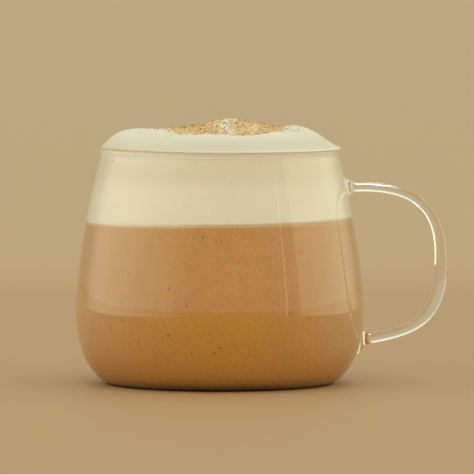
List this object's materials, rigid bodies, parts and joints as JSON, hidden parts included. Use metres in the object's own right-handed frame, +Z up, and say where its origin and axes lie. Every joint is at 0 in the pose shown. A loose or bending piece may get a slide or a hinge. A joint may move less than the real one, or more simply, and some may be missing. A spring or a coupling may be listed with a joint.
{
  "type": "pumpkin spice cappuccino",
  "caption": "Milky spiced coffee in a rounded clear glass mug with a thin rod handle, under a domed cap of milk foam dusted with brown spice.",
  "frame": {"origin": "centre of the flat base, on the surface that the mug stands on", "axes": "+Z up along the mug's axis, +X out through the middle of the handle"},
  "size_m": [0.1239, 0.096, 0.0885],
  "materials": {
    "glass": "clear fire-polished borosilicate glass",
    "coffee": "opaque tan milk coffee with fine dark spice specks",
    "foam": "fine matte cream milk foam with golden-brown spice dust and coarse brown grains on top"
  },
  "bodies": {
    "root": {"mug": "glass", "coffee": "coffee", "foam": "foam"}
  },
  "joints": []
}
